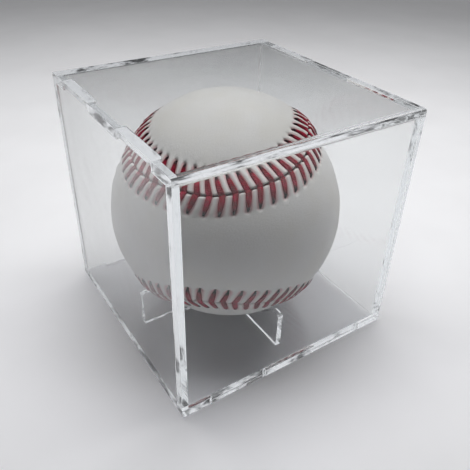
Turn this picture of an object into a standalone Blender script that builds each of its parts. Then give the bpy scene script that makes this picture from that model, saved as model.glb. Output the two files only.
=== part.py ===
"""Clear two-part display cube with a stitched baseball on its cradle.

Units are metres and +Z is up. The origin is at the centre of the underside. The base half carries
the floor, the two walls at -X and +X and the four cradle fins. The cover half carries the lid and
the two walls at -Y and +Y, and lifts straight up. The two halves are one moulded channel each, and
their edges interlock with tabs that stand in notches. The ball lies turned in the cradle.
"""

import math

import bmesh
import bpy
from mathutils import Euler, Matrix, Vector

# Ball, from the outside in
BALL_DIAMETER = 0.0742
LEATHER_THICKNESS = 0.00125
COTTON_THICKNESS = 0.0006
OUTER_WOOL_THICKNESS = 0.0022
WHITE_WOOL_THICKNESS = 0.0016
PILL_DIAMETER = 0.0333
RED_RUBBER_THICKNESS = 0.0024
BLACK_RUBBER_THICKNESS = 0.0038
GASKET_THICKNESS = 0.0012
YARN_HOLE_DIAMETER = 0.0014
LAYER_GAP = 0.0003

# Seam and stitches
NECK_HALF_ANGLE = math.radians(27.5)
SEAM_SWING = math.radians(19.5)
SEAM_GAP = 0.0008
STITCHES = 108
STITCH_PHASE_SHARE = 0.12
LEG_REACH = 0.0054
LEG_LEAN = 0.00145
LEG_WIDTH = 0.0013
LEG_TIP_WIDTH = 0.0008
LEG_THICKNESS = 0.00045
LEG_LIFT = 0.00015
CORE_THREAD_WIDTH = 0.0004
CORE_THREAD_DEPTH = 0.0006
CORE_THREAD_SINK = 0.0002

# How the ball lies: turns about X, Y and Z
BALL_TURN = (math.radians(97.6), math.radians(3.6), math.radians(138.1))

# Case
WALL = 0.0028
BALL_TO_WALL = 0.0011
BALL_TO_FLOOR = 0.0015
BALL_TO_LID = 0.0007
FIT_GAP = 0.0003
TONGUE_WIDTH = 0.0205
TAB_WIDTH = 0.0205
NOTCH_ROUND = 0.0006
OUTER_BEND = 0.0010
INNER_BEND = 0.0006

# Cradle fins
FIN_THICKNESS = 0.0020
FIN_HEIGHT = 0.0135
FIN_TO_WALL = 0.0062
FIN_START = 0.0090
FIN_TIP_ROUND = 0.0008
FIN_ROOT = 0.0012
FIN_TO_STITCHES = 0.0003

# Mesh fineness
SHELL_SEGMENTS = 20
SHELL_RINGS = 10
PANEL_RIBS = 54
PANEL_COLUMNS = 8
BEND_SEGMENTS = 3
CRADLE_ARC_STEPS = 12
SEAM_TABLE_STEPS = 4000
CUT_OVERRUN = 0.002
MERGE_DISTANCE = 0.000001
SMOOTH_BELOW = math.radians(32)

# Worked out from the sizes above
BALL_RADIUS = BALL_DIAMETER / 2
SIDE = BALL_DIAMETER + 2 * (BALL_TO_WALL + WALL)
HEIGHT = WALL + BALL_TO_FLOOR + BALL_DIAMETER + BALL_TO_LID + WALL
BALL_CENTRE = Vector((0, 0, WALL + BALL_TO_FLOOR + BALL_RADIUS))
INNER_HALF = SIDE / 2 - WALL
TAB_START = TONGUE_WIDTH / 2
TAB_END = TAB_START + TAB_WIDTH
STITCH_RADIUS = BALL_RADIUS + LEG_LIFT + LEG_THICKNESS

# Each finish: base colour, roughness, alpha
FINISHES = {
    "clear_polystyrene": ((0.86, 0.89, 0.90), 0.05, 0.3),
    "white_leather": ((0.80, 0.79, 0.75), 0.5, 1.0),
    "red_waxed_thread": ((0.42, 0.03, 0.05), 0.45, 1.0),
    "cotton_yarn": ((0.85, 0.84, 0.78), 0.85, 1.0),
    "grey_wool_yarn": ((0.36, 0.36, 0.37), 0.9, 1.0),
    "white_wool_yarn": ((0.80, 0.78, 0.72), 0.9, 1.0),
    "red_rubber": ((0.45, 0.05, 0.04), 0.6, 1.0),
    "black_rubber": ((0.03, 0.03, 0.03), 0.6, 1.0),
    "composition_cork": ((0.42, 0.26, 0.14), 0.9, 1.0),
}


def clear_scene():
    for item in list(bpy.data.objects):
        bpy.data.objects.remove(item)


def material(name):
    """The named finish as a Principled material, made once."""
    if name in bpy.data.materials:
        return bpy.data.materials[name]
    colour, roughness, alpha = FINISHES[name]
    made = bpy.data.materials.new(name)
    made.use_nodes = True
    shader = made.node_tree.nodes["Principled BSDF"]
    shader.inputs["Base Color"].default_value = (*colour, 1.0)
    shader.inputs["Roughness"].default_value = roughness
    shader.inputs["Metallic"].default_value = 0.0
    shader.inputs["Alpha"].default_value = alpha
    made.diffuse_color = (*colour, alpha)
    return made


def empty(name, place, parent=None):
    made = bpy.data.objects.new(name, None)
    made.location = place
    made.parent = parent
    bpy.context.scene.collection.objects.link(made)
    return made


def mesh_object(name, bm, finish, parent=None, smooth=True):
    bmesh.ops.recalc_face_normals(bm, faces=bm.faces)
    mesh = bpy.data.meshes.new(name)
    bm.to_mesh(mesh)
    bm.free()
    mesh.materials.append(finish)
    if smooth:
        mesh.shade_smooth()
        mesh.set_sharp_from_angle(angle=SMOOTH_BELOW)
    return place_mesh(name, mesh, parent)


def place_mesh(name, mesh, parent=None):
    made = bpy.data.objects.new(name, mesh)
    made.parent = parent
    bpy.context.scene.collection.objects.link(made)
    return made


def helper(name, bm, finish, parent):
    """A shape that only cuts or joins, and isn't part of the object itself."""
    made = mesh_object(name, bm, finish, parent, smooth=False)
    made.hide_render = True
    made.display_type = "WIRE"
    return made


def add_block(bm, low, high):
    """A box between two corners."""
    low, high = Vector(low), Vector(high)
    place = Matrix.Translation((low + high) / 2) @ Matrix.Diagonal((*(high - low), 1))
    return bmesh.ops.create_cube(bm, size=1, matrix=place)["verts"]


def extrude_along_y(bm, outline, start, length):
    """A prism from an outline of (x, z) points. Returns the near and the far points."""
    near = [bm.verts.new((x, start, z)) for x, z in outline]
    grown = bmesh.ops.extrude_face_region(bm, geom=[bm.faces.new(near)])["geom"]
    far = [item for item in grown if isinstance(item, bmesh.types.BMVert)]
    bmesh.ops.translate(bm, verts=far, vec=(0, length, 0))
    return near, far


def round_edges(bm, edges, radius):
    """Rounds the edges and returns the points that this makes."""
    return bmesh.ops.bevel(
        bm, geom=edges, offset=radius, segments=BEND_SEGMENTS, profile=0.5, affect="EDGES"
    )["verts"]


def near_to(value, target):
    return math.isclose(value, target, abs_tol=MERGE_DISTANCE)


def boolean(target, name, operation, other):
    cut = target.modifiers.new(name, "BOOLEAN")
    cut.operation = operation
    cut.object = other


# Case halves


def channel(name, finish, parent):
    """A flat plate with a wall along each side, open upwards, with rounded bends."""
    bm = bmesh.new()
    half = SIDE / 2
    outline = [
        (-half, 0),
        (half, 0),
        (half, HEIGHT),
        (INNER_HALF, HEIGHT),
        (INNER_HALF, WALL),
        (-INNER_HALF, WALL),
        (-INNER_HALF, HEIGHT),
        (-half, HEIGHT),
    ]
    extrude_along_y(bm, outline, -half, SIDE)
    for x, z, radius in ((half, 0, OUTER_BEND), (INNER_HALF, WALL, INNER_BEND)):
        bends = []
        for edge in bm.edges:
            start, end = (vert.co for vert in edge.verts)
            in_line = near_to(start.x, end.x) and near_to(start.z, z) and near_to(end.z, z)
            if in_line and near_to(abs(start.x), x):
                bends.append(edge)
        round_edges(bm, bends, radius)
    return mesh_object(name, bm, finish, parent, smooth=False)


def notch_cutter(name, finish, parent):
    """Four blocks that open the plate's end edges for the other half's tabs."""
    bm = bmesh.new()
    start = INNER_HALF - FIT_GAP
    for side in (-1, 1):
        for end in (-1, 1):
            xs = sorted((side * (TAB_START - FIT_GAP), side * (TAB_END + FIT_GAP)))
            ys = sorted((end * start, end * (SIDE / 2 + CUT_OVERRUN)))
            low = (xs[0], ys[0], -CUT_OVERRUN)
            block = add_block(bm, low, (xs[1], ys[1], WALL + CUT_OVERRUN))
            inner = [vert for vert in block if near_to(abs(vert.co.y), start)]
            uprights = []
            for edge in {edge for vert in inner for edge in vert.link_edges}:
                if all(vert in inner and near_to(vert.co.x, edge.verts[0].co.x) for vert in edge.verts):
                    uprights.append(edge)
            uprights.sort(key=lambda edge: edge.verts[0].co.x)
            round_edges(bm, uprights, NOTCH_ROUND)
    return helper(name, bm, finish, parent)


def crest_cutter(name, finish, parent):
    """Three blocks that lower the walls' free edges and leave two tabs on each."""
    bm = bmesh.new()
    reach = SIDE / 2 + CUT_OVERRUN
    for start, end in ((-reach, -TAB_END), (-TAB_START, TAB_START), (TAB_END, reach)):
        low = (-reach, start, HEIGHT - WALL - FIT_GAP)
        add_block(bm, low, (reach, end, HEIGHT + CUT_OVERRUN))
    return helper(name, bm, finish, parent)


def wall_end_cutter(name, finish, parent):
    """Two blocks that shorten the base walls, so that they stand between the cover's walls."""
    bm = bmesh.new()
    reach = SIDE / 2 + CUT_OVERRUN
    for end in (-1, 1):
        ys = sorted((end * (INNER_HALF - FIT_GAP), end * reach))
        add_block(bm, (-reach, ys[0], WALL), (reach, ys[1], HEIGHT + CUT_OVERRUN))
    return helper(name, bm, finish, parent)


def cradle_fins(name, finish, parent):
    """Four thin uprights, hollowed to the ball, that stand on the floor's centre lines."""
    bm = bmesh.new()
    reach = INNER_HALF - FIN_TO_WALL
    tip = WALL + FIN_HEIGHT
    arc = STITCH_RADIUS + FIN_TO_STITCHES
    first = math.asin(FIN_START / arc)
    last = math.acos((BALL_CENTRE.z - tip) / arc)
    outline = [(FIN_START, WALL - FIN_ROOT), (reach, WALL - FIN_ROOT), (reach, tip)]
    for step in range(CRADLE_ARC_STEPS + 1):
        angle = last + (first - last) * step / CRADLE_ARC_STEPS
        outline.append((arc * math.sin(angle), BALL_CENTRE.z - arc * math.cos(angle)))
    for quarter in range(4):
        near, far = extrude_along_y(bm, outline, -FIN_THICKNESS / 2, FIN_THICKNESS)
        tip_vert = near[outline.index((reach, tip))]
        across = [edge for edge in tip_vert.link_edges if edge.other_vert(tip_vert) in far]
        rounded = round_edges(bm, across, FIN_TIP_ROUND)
        fin = list(dict.fromkeys(vert for vert in near + far + rounded if vert.is_valid))
        turn = Matrix.Rotation(quarter * math.pi / 2, 3, "Z")
        bmesh.ops.rotate(bm, cent=(0, 0, 0), matrix=turn, verts=fin)
    return helper(name, bm, finish, parent)


def base_half(finish):
    case = empty("base_origin", (0, 0, 0))
    half = channel("base_half", finish, case)
    boolean(half, "fins", "UNION", cradle_fins("fin_shapes", finish, case))
    boolean(half, "notches", "DIFFERENCE", notch_cutter("base_notch_cutter", finish, case))
    boolean(half, "crests", "DIFFERENCE", crest_cutter("base_crest_cutter", finish, case))
    boolean(half, "ends", "DIFFERENCE", wall_end_cutter("base_end_cutter", finish, case))


def cover_half(finish):
    """The same channel turned over and a quarter round, with walls of the full width."""
    slide = empty("cover_slide", (0, 0, HEIGHT))
    slide.rotation_euler = (math.pi, 0, math.pi / 2)
    half = channel("cover_half", finish, slide)
    boolean(half, "notches", "DIFFERENCE", notch_cutter("cover_notch_cutter", finish, slide))
    boolean(half, "crests", "DIFFERENCE", crest_cutter("cover_crest_cutter", finish, slide))


# Seam curve


def seam_direction(t):
    """The seam as a unit direction from the ball's centre; t runs from 0 to four pi."""
    down = math.pi / 2 - (math.pi / 2 - NECK_HALF_ANGLE) * math.cos(t)
    round_z = t / 2 + SEAM_SWING * math.sin(2 * t)
    across = math.sin(down)
    return Vector((across * math.cos(round_z), across * math.sin(round_z), math.cos(down)))


class Seam:
    """The seam measured along its length on the leather's outside."""

    def __init__(self):
        self.turn = 4 * math.pi
        step = self.turn / SEAM_TABLE_STEPS
        self.params = [step * k for k in range(SEAM_TABLE_STEPS + 1)]
        points = [seam_direction(t) * BALL_RADIUS for t in self.params]
        self.lengths = [0.0]
        for before, after in zip(points, points[1:]):
            self.lengths.append(self.lengths[-1] + (after - before).length)
        self.total = self.lengths[-1]

    def param_at(self, length):
        length %= self.total
        low, high = 0, SEAM_TABLE_STEPS
        while high - low > 1:
            middle = (low + high) // 2
            if self.lengths[middle] <= length:
                low = middle
            else:
                high = middle
        share = (length - self.lengths[low]) / (self.lengths[high] - self.lengths[low])
        return self.params[low] + share * (self.params[high] - self.params[low])

    def frame(self, t):
        """Outward, forward and sideways directions; sideways points into the first panel."""
        step = self.turn / SEAM_TABLE_STEPS
        outward = seam_direction(t)
        forward = (seam_direction(t + step) - seam_direction(t - step)).normalized()
        return outward, forward, outward.cross(forward).normalized()


# Ball


def panel_rib(seam, length):
    """Points across the first panel, between the two seam points that face each other."""
    edge_shift = SEAM_GAP / 2 / BALL_RADIUS
    ends = []
    for place in (length, seam.total / 2 - length):
        outward, _, sideways = seam.frame(seam.param_at(place))
        ends.append((outward + sideways * edge_shift).normalized())
    shares = [column / PANEL_COLUMNS for column in range(PANEL_COLUMNS + 1)]
    return [ends[0].slerp(ends[1], share) * BALL_RADIUS for share in shares]


def leather_sheet(seam, finish, ball):
    """The outer face of one dumbbell-shaped panel, grown rib after rib from tip to tip."""
    bm = bmesh.new()
    reach = seam.total / 4
    step = 2 * reach / PANEL_RIBS
    row = [bm.verts.new(place) for place in panel_rib(seam, step - reach)]
    edges = [bm.edges.new(pair) for pair in zip(row, row[1:])]
    first_row = row
    for index in range(2, PANEL_RIBS):
        grown = bmesh.ops.extrude_edge_only(bm, edges=edges)["geom"]
        edges = [item for item in grown if isinstance(item, bmesh.types.BMEdge)]
        row = [
            next(edge.other_vert(vert) for edge in vert.link_edges if edge.other_vert(vert) in grown)
            for vert in row
        ]
        for vert, place in zip(row, panel_rib(seam, index * step - reach)):
            vert.co = place
    for end_row, length in ((first_row, -reach), (row, reach)):
        tip = bm.verts.new(panel_rib(seam, length)[0])
        for pair in zip(end_row, end_row[1:]):
            bm.faces.new((tip, *pair))
    made = mesh_object("leather_panel_upper", bm, finish, ball)
    outer = made.data.polygons[0]
    if outer.normal.dot(outer.center) < 0:
        made.data.flip_normals()
    return made


def thicken_inwards(sheet):
    leather = sheet.modifiers.new("leather", "SOLIDIFY")
    leather.thickness = LEATHER_THICKNESS
    leather.offset = -1
    leather.use_rim = True


def leather_panels(seam, finish, ball):
    """Two equal panels: the seam falls on itself in a half turn about this slanting axis."""
    upper = leather_sheet(seam, finish, ball)
    lower = place_mesh("leather_panel_lower", upper.data, ball)
    lower.matrix_local = Matrix.Rotation(math.pi, 4, Vector((1, 1, 0)))
    thicken_inwards(upper)
    thicken_inwards(lower)


def core_thread(bm, seam, apexes):
    """The thread's run in the seam. Returns its top face under each stitch."""
    top = BALL_RADIUS - CORE_THREAD_SINK
    bottom = top - CORE_THREAD_DEPTH
    half = CORE_THREAD_WIDTH / 2
    section = ((top, half), (top, -half), (bottom, -half), (bottom, half))
    rings = []
    for apex in apexes:
        for length in (apex - LEG_WIDTH / 2, apex + LEG_WIDTH / 2):
            outward, _, sideways = seam.frame(seam.param_at(length))
            places = [outward * rise + sideways * side for rise, side in section]
            rings.append([bm.verts.new(place) for place in places])
    tops = []
    for index, (near, far) in enumerate(zip(rings, rings[1:] + rings[:1])):
        for corner in range(len(section)):
            after = (corner + 1) % len(section)
            face = bm.faces.new((near[corner], near[after], far[after], far[corner]))
            if corner == 0 and index % 2 == 0:
                tops.append(face)
    bmesh.ops.recalc_face_normals(bm, faces=bm.faces)
    return tops


def raised(bm, face, radius):
    """Extrudes a face out to a distance from the ball's centre."""
    made = bmesh.ops.extrude_discrete_faces(bm, faces=[face])["faces"][0]
    for vert in made.verts:
        vert.co = vert.co.normalized() * radius
    return made


def stitch_flanks(crown, forward, sideways):
    """The two faces beside a stitch's crown that look across the seam."""
    middle = crown.calc_center_median()
    flanks = []
    for face in [face for edge in crown.edges for face in edge.link_faces]:
        offset = face.calc_center_median() - middle
        if abs(offset.dot(sideways)) > abs(offset.dot(forward)):
            flanks.append(face)
    return flanks


def add_stitch(bm, seam, top_face, apex):
    """A crown over the seam and a leg to each side, leaning back to its hole."""
    crown = raised(bm, raised(bm, top_face, BALL_RADIUS + LEG_LIFT), STITCH_RADIUS)
    middle = crown.calc_center_median()
    _, forward, sideways = seam.frame(seam.param_at(apex))
    end_outward, end_forward, end_sideways = seam.frame(seam.param_at(apex - LEG_LEAN))
    for flank in stitch_flanks(crown, forward, sideways):
        leg = bmesh.ops.extrude_discrete_faces(bm, faces=[flank])["faces"][0]
        hand = math.copysign(1, leg.calc_center_median().dot(sideways))
        angle = hand * LEG_REACH / BALL_RADIUS
        end = end_outward * math.cos(angle) + end_sideways * math.sin(angle)
        leg_height = sum(vert.co.length for vert in leg.verts) / len(leg.verts)
        for vert in leg.verts:
            along = math.copysign(LEG_TIP_WIDTH / 2, (vert.co - middle).dot(forward))
            under = vert.co.length < leg_height
            radius = BALL_RADIUS + LEG_LIFT if under else STITCH_RADIUS
            vert.co = (end * BALL_RADIUS + end_forward * along).normalized() * radius


def seam_thread(seam, finish, ball):
    """One waxed thread: a core that runs round in the seam, with two legs for each stitch."""
    bm = bmesh.new()
    pitch = seam.total / STITCHES
    apexes = [(stitch + STITCH_PHASE_SHARE) * pitch for stitch in range(STITCHES)]
    for top_face, apex in zip(core_thread(bm, seam, apexes), apexes):
        add_stitch(bm, seam, top_face, apex)
    mesh_object("seam_thread", bm, finish, ball)


def turned(profiles, closed=False):
    """Profiles of (radius, height) points turned about Z."""
    bm = bmesh.new()
    for profile in profiles:
        verts = [bm.verts.new((radius, 0, height)) for radius, height in profile]
        for pair in zip(verts, verts[1:] + verts[:1] if closed else verts[1:]):
            bm.edges.new(pair)
    bmesh.ops.spin(
        bm,
        geom=bm.verts[:] + bm.edges[:],
        cent=(0, 0, 0),
        axis=(0, 0, 1),
        angle=2 * math.pi,
        steps=SHELL_SEGMENTS,
        use_merge=True,
        use_duplicate=False,
    )
    bmesh.ops.remove_doubles(bm, verts=bm.verts, dist=MERGE_DISTANCE)
    return bm


def arc_profile(radius, top, bottom):
    """Points down a circle between two heights, on even latitudes so that nested layers match."""
    points = [(math.sqrt(max(radius**2 - top**2, 0)), top)]
    for ring in range(1, SHELL_RINGS):
        angle = math.pi * ring / SHELL_RINGS
        height = radius * math.cos(angle)
        if bottom + MERGE_DISTANCE < height < top - MERGE_DISTANCE:
            points.append((radius * math.sin(angle), height))
    points.append((math.sqrt(max(radius**2 - bottom**2, 0)), bottom))
    return points


def hollow_layer(name, outer, inner, finish, ball):
    """A wound or moulded layer, open at the small hole where the yarn's tail comes through."""
    hole = YARN_HOLE_DIAMETER / 2
    outside = arc_profile(outer, math.sqrt(outer**2 - hole**2), -outer)
    inside = arc_profile(inner, math.sqrt(inner**2 - hole**2), -inner)
    bm = turned([outside, inside])
    rims = [edge for edge in bm.edges if edge.is_boundary]
    bmesh.ops.bridge_loops(bm, edges=rims)
    mesh_object(name, bm, finish, ball)


def rubber_shells(outer, inner, finish, ball):
    """Two rubber cups that meet over the gasket."""
    parting = GASKET_THICKNESS / 2 + LAYER_GAP
    outside = arc_profile(outer, outer, parting)
    inside = arc_profile(inner, inner, parting)
    bm = turned([outside + inside[::-1]])
    upper = mesh_object("black_rubber_shell_upper", bm, finish, ball)
    lower = place_mesh("black_rubber_shell_lower", upper.data, ball)
    lower.rotation_euler = (math.pi, 0, 0)


def shell_gasket(outer, inner, finish, ball):
    half = GASKET_THICKNESS / 2
    profile = [(outer, half), (outer, -half), (inner, -half), (inner, half)]
    mesh_object("shell_gasket", turned([profile], closed=True), finish, ball)


def cork_core(radius, finish, ball):
    bm = turned([arc_profile(radius, radius, -radius)])
    mesh_object("cork_core", bm, finish, ball)


def windings(ball):
    """The yarn layers from the leather in to the pill, each a gap smaller than the last."""
    layers = (
        ("cotton_winding", COTTON_THICKNESS, "cotton_yarn"),
        ("outer_grey_wool_winding", OUTER_WOOL_THICKNESS, "grey_wool_yarn"),
        ("white_wool_winding", WHITE_WOOL_THICKNESS, "white_wool_yarn"),
    )
    outer = BALL_RADIUS - LEATHER_THICKNESS - LAYER_GAP
    for name, thickness, finish in layers:
        hollow_layer(name, outer, outer - thickness, material(finish), ball)
        outer -= thickness + LAYER_GAP
    inner = PILL_DIAMETER / 2 + LAYER_GAP
    hollow_layer("inner_grey_wool_winding", outer, inner, material("grey_wool_yarn"), ball)


def pill(ball):
    """The moulded centre: a red rubber layer, two black shells with a gasket, and cork."""
    outer = PILL_DIAMETER / 2
    inner = outer - RED_RUBBER_THICKNESS
    hollow_layer("red_rubber_layer", outer, inner, material("red_rubber"), ball)
    shell_outer = inner - LAYER_GAP
    shell_inner = shell_outer - BLACK_RUBBER_THICKNESS
    rubber_shells(shell_outer, shell_inner, material("black_rubber"), ball)
    shell_gasket(shell_outer, shell_inner, material("red_rubber"), ball)
    cork_core(shell_inner - LAYER_GAP, material("composition_cork"), ball)


def baseball():
    lift = empty("ball_lift", BALL_CENTRE)
    ball = empty("ball_turn", (0, 0, 0), lift)
    ball.rotation_euler = Euler(BALL_TURN)
    seam = Seam()
    leather_panels(seam, material("white_leather"), ball)
    seam_thread(seam, material("red_waxed_thread"), ball)
    windings(lift)
    pill(lift)


def main():
    clear_scene()
    base_half(material("clear_polystyrene"))
    cover_half(material("clear_polystyrene"))
    baseball()


main()
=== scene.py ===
"""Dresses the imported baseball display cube: clear halves, a stitched leather ball and a studio.

Units are metres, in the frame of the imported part: +Z up, the origin at the centre of the underside.
"""

import math

import bmesh
import bpy
from bpy.props import FloatProperty, FloatVectorProperty, IntProperty, PointerProperty
from mathutils import Euler, Matrix, Vector


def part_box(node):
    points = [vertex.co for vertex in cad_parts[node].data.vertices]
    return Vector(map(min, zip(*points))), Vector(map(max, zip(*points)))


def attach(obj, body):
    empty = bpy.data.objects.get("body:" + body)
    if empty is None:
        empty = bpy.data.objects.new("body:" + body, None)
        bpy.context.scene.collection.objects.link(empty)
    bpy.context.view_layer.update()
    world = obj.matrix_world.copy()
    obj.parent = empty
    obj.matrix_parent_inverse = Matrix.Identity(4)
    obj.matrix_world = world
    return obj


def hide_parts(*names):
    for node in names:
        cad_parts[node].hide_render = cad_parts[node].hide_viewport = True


bl_info = {
    "name": "Baseball Display Cube",
    "version": (1, 0, 0),
    "blender": (4, 5, 0),
    "location": "View3D > Sidebar > Display Cube",
    "description": "Clear interlocking halves, a stitched leather ball and a soft studio round them",
    "category": "Object",
}

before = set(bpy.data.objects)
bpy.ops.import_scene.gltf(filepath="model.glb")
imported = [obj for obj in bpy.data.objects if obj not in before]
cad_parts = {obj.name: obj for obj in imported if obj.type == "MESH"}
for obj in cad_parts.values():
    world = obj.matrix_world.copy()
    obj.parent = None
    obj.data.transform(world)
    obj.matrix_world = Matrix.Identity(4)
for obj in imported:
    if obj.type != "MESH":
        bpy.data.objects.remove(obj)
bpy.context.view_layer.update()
CASE_LOW, CASE_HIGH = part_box("cover_half")
BALL_LOW, BALL_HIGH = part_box("cotton_winding")

# Refraction of polystyrene, and how often light turns back in it before the painted glow, an emission,
# takes over
POLYSTYRENE_IOR = 1.59
LAST_TURN_BACK = 2.5
# How far cutting blocks stand out past what they cut, and segments of the mouldings' roundings
CUT_OVER = 0.002
BEND_SEGMENTS, NOTCH_SEGMENTS, TIP_SEGMENTS, EDGE_SEGMENTS = 6, 4, 5, 2
FIN_ARC_STEPS = 32
SHARP_ANGLE = math.radians(40)


def linear(hex_colour):
    """An sRGB colour written as #rrggbb, as the linear values that Blender's sockets take."""
    values = []
    for start in (1, 3, 5):
        value = int(hex_colour[start : start + 2], 16) / 255
        values.append(value / 12.92 if value <= 0.04045 else ((value + 0.055) / 1.055) ** 2.4)
    return tuple(values)


def metres(name, description, default):
    return FloatProperty(name=name, description=description, default=default, min=0.0, unit="LENGTH")


def angle(name, description, degrees):
    value = math.radians(degrees)
    return FloatProperty(name=name, description=description, default=value, subtype="ANGLE")


def vector(name, description, default, subtype, **limits):
    return FloatVectorProperty(
        name=name, description=description, default=default, subtype=subtype, **limits
    )


def rotation(name, description, degrees):
    return vector(name, description, tuple(math.radians(value) for value in degrees), "EULER")


def colour(name, description, hex_colour):
    return vector(name, description, linear(hex_colour), "COLOR", min=0, max=1)


class ClearCaseSettings(bpy.types.PropertyGroup):
    """Sizes and tint of the two clear halves."""

    side: metres("Side", "Outside width of the case", CASE_HIGH.x - CASE_LOW.x)
    height: metres("Height", "Outside height of the case", CASE_HIGH.z - CASE_LOW.z)
    wall: metres("Wall", "Thickness of the walls, lid and floor", 0.0028)
    fit_gap: metres("Fit gap", "Room between the tabs and their notches", 0.00016)
    tongue: metres("Middle tongue", "Width of the middle tongue of each edge", 0.0205)
    tab: metres("Tab", "Width of each tab and notch", 0.0205)
    outer_bend: metres("Outer bend", "Radius of the moulded outside corners", 0.0010)
    inner_bend: metres("Inner bend", "Radius of the moulded inside corners", 0.0006)
    notch_round: metres("Notch round", "Radius of the notches' inner corners", 0.0006)
    edge_round: metres("Edge round", "Radius of the moulding's other edges", 0.00018)
    fin_thickness: metres("Fin thickness", "Thickness of each cradle fin", 0.0020)
    fin_height: metres("Fin height", "Height of the fins' tips over the floor", 0.0135)
    fin_to_wall: metres("Fin to wall", "Room between a fin and the wall", 0.0062)
    fin_start: metres("Fin start", "Where a fin begins, from the case's middle", 0.0090)
    fin_tip_round: metres("Fin tip round", "Radius of a fin's upper corner", 0.0008)
    fin_arc: metres("Cradle radius", "Radius that the fins are hollowed to", 0.0380)
    tint: colour("Tint", "Colour of the plastic in the thick", "#fafbfb")


class LeatherBallSettings(bpy.types.PropertyGroup):
    """Sizes and colours of the ball's cover and thread."""

    diameter: metres("Diameter", "Across the leather", 0.0742)
    leather: metres("Leather", "Thickness of the cover", 0.00125)
    lie: rotation("Lie", "How the ball lies turned in its cradle", (97.6, 3.6, 138.1))
    neck: angle("Neck", "Half the width of a panel's waist, seen from the ball's centre", 27.5)
    swing: angle("Swing", "How far the seam swings to each side of an even turn", 19.5)
    stitches: IntProperty(
        name="Stitches", description="Double stitches round the seam", default=108, min=8
    )
    first_stitch: FloatProperty(
        name="First stitch", description="Where the first stitch lies, in stitches", default=0.12
    )
    seam_gap: metres("Seam gap", "Room between the two panels' cut edges", 0.00022)
    lip_depth: metres("Lip depth", "How far the cut edges roll down into the seam", 0.00085)
    lip_width: metres("Lip width", "Width of the rolled edge", 0.00040)
    lip_draw: metres("Lip draw", "How far a stitch draws the cut edge back", 0.00055)
    ridge: metres("Ridge", "How far the seam stands up", 0.00034)
    ridge_reach: metres("Ridge reach", "How far the ridge runs from the seam", 0.0031)
    pucker: metres("Pucker", "How far the leather puffs up between the stitches", 0.00052)
    leg_reach: metres("Leg reach", "From the seam to a stitch's hole", 0.0054)
    leg_lean: metres("Leg lean", "How far a hole lies behind its stitch's point", 0.00145)
    leg_width: metres("Leg width", "Width of the doubled thread", 0.00172)
    leg_thickness: metres("Leg thickness", "Thickness of the doubled thread", 0.00062)
    hole: metres("Hole", "Radius of the awl hole's dimple", 0.00040)
    hole_depth: metres("Hole depth", "Depth of the awl hole's dimple", 0.00065)
    leather_colour: colour("Leather", "Colour of the tanned cover", "#e1e0dd")
    thread_colour: colour("Thread", "Colour of the waxed thread", "#921028")


class StudioSettings(bpy.types.PropertyGroup):
    """Floor, lamps and camera."""

    floor_size: metres("Floor", "Width of the floor", 6.0)
    floor_gap: metres("Floor gap", "Air between the floor and the case", 0.00015)
    floor_colour: colour("Floor colour", "Colour of the pale floor", "#f0f0f2")
    air_colour: colour("Surroundings", "Light of the room round the set", "#292a2c")
    backdrop_colour: colour("Backdrop", "Colour of the backdrop, low behind the object", "#b6b6b8")
    room_colour: colour("Room", "Colour of the dim room above the backdrop", "#343538")
    ceiling_colour: colour("Ceiling", "Colour of the lit ceiling", "#fbfcfe")
    pool: metres("Pool", "How far the lit floor runs before it turns into the backdrop", 0.42)
    lamp_power: FloatProperty(
        name="Lamp power", description="Power of the soft box overhead", default=2.4, unit="POWER"
    )
    lamp_width: metres("Lamp width", "Width of the soft box", 0.60)
    lamp_depth: metres("Lamp depth", "Depth of the soft box", 0.20)
    lamp_place: vector(
        "Lamp place", "Where the soft box hangs", (0.0747, 0.0594, 0.42), "TRANSLATION"
    )
    lens: FloatProperty(name="Lens", description="Focal length in millimetres", default=41.56)
    camera_place: vector(
        "Camera place", "Where the camera stands", (-0.086688, -0.134041, 0.139355), "TRANSLATION"
    )
    camera_turn: rotation("Camera turn", "Which way the camera looks", (55.1847, -1.4383, -32.9953))


# Material nodes

# The thread's twist: how far its ribs lean in one turn round it, and how far apart they are
RIB_LEAN, RIB_SPACING = 0.0012, 0.00062
COLOURS = {"data_type": "RGBA"}
SMOOTH = {"interpolation_type": "SMOOTHSTEP"}


def add_node(tree, kind, inputs=(), **settings):
    """Adds a shader node. Its inputs come by name, or else in the order of its visible sockets.

    Each is a value, or a pair of another node and its output's name or place.
    """
    made = tree.nodes.new("ShaderNode" + kind)
    for name, value in settings.items():
        setattr(made, name, value)
    if isinstance(inputs, dict):
        sockets, inputs = [made.inputs[name] for name in inputs], inputs.values()
    else:
        sockets = [socket for socket in made.inputs if socket.enabled]
    for socket, value in zip(sockets, inputs):
        if isinstance(value, tuple) and isinstance(value[0], bpy.types.Node):
            tree.links.new(value[0].outputs[value[1]], socket)
        else:
            socket.default_value = (*value, 1.0) if socket.type == "RGBA" else value
    return made


def new_material(name):
    """An empty material, its tree, and its Object coordinates."""
    made = bpy.data.materials.new(name)
    made.use_nodes = True
    tree = made.node_tree
    tree.nodes.clear()
    return made, tree, (add_node(tree, "TexCoord"), "Object")


def toned(colour, red, green, blue):
    """A colour made lighter or darker in each of its parts."""
    return tuple(min(1.0, value * share) for value, share in zip(colour, (red, green, blue)))


def layered(tree, base, *layers):
    """A colour with others laid over it, each as thick as its mask's range says."""
    shown = base
    for mask, limits, over in layers:
        share = add_node(tree, "MapRange", [mask, *limits], **SMOOTH)
        shown = (add_node(tree, "Mix", [(share, "Result"), shown, over], **COLOURS), 2)
    return shown


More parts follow.
